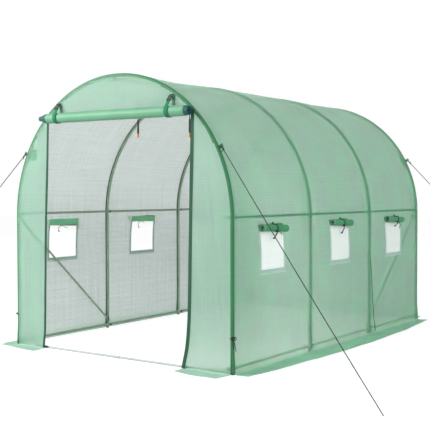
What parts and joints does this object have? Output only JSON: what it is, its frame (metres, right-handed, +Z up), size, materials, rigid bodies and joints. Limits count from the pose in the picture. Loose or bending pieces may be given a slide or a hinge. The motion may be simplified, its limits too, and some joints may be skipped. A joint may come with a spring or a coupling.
{
  "type": "polytunnel greenhouse",
  "caption": "Walk-in garden polytunnel: tube hoops under a fitted translucent green cover, with a rolled-up door, netted side windows with rolled flaps, ground skirts and guy ropes.",
  "frame": {"origin": "centre of the base at ground level", "axes": "+Z up, +Y along the tunnel away from the door, +X to the right seen from the door end"},
  "size_m": [4.4004, 3.7952, 1.9875],
  "materials": {
    "green_tube": "satin",
    "pale_bar": "satin",
    "film": "woven translucent film",
    "net": "fine net",
    "flap_film": "woven film, rolled",
    "webbing": "woven webbing",
    "black_plastic": "matte",
    "cord": "braided cord"
  },
  "bodies": {
    "root": {"front_hoop_legs": "green_tube", "second_hoop_legs": "green_tube", "third_hoop_legs": "green_tube", "rear_hoop_legs": "green_tube", "front_hoop_arch": "green_tube", "second_hoop_arch": "green_tube", "third_hoop_arch": "green_tube", "rear_hoop_arch": "green_tube", "left_hip_rail": "green_tube", "right_hip_rail": "green_tube", "ridge_rail": "green_tube", "left_base_rail": "green_tube", "right_base_rail": "green_tube", "front_ground_bar": "pale_bar", "rear_ground_bar": "pale_bar", "left_front_brace": "green_tube", "right_rear_brace": "green_tube", "roof_cover": "film", "left_wall_cover": "film", "right_wall_cover": "film", "front_left_panel": "film", "front_right_panel": "film", "front_top_panel": "film", "rear_end_panel": "film", "left_skirt": "film", "right_skirt": "film", "front_left_skirt": "film", "front_right_skirt": "film", "rear_skirt": "film", "left_window_nets": "net", "right_window_nets": "net", "left_window_frames": "net", "right_window_frames": "net", "left_window_rolls": "flap_film", "right_window_rolls": "flap_film", "door_roll": "film", "door_straps": "webbing", "strap_buckles": "black_plastic", "door_zips": "webbing", "zip_pulls": "black_plastic", "guy_tabs": "webbing", "front_left_guy": "cord", "front_right_guy": "cord", "rear_left_guy": "cord", "rear_right_guy": "cord"}
  },
  "joints": []
}
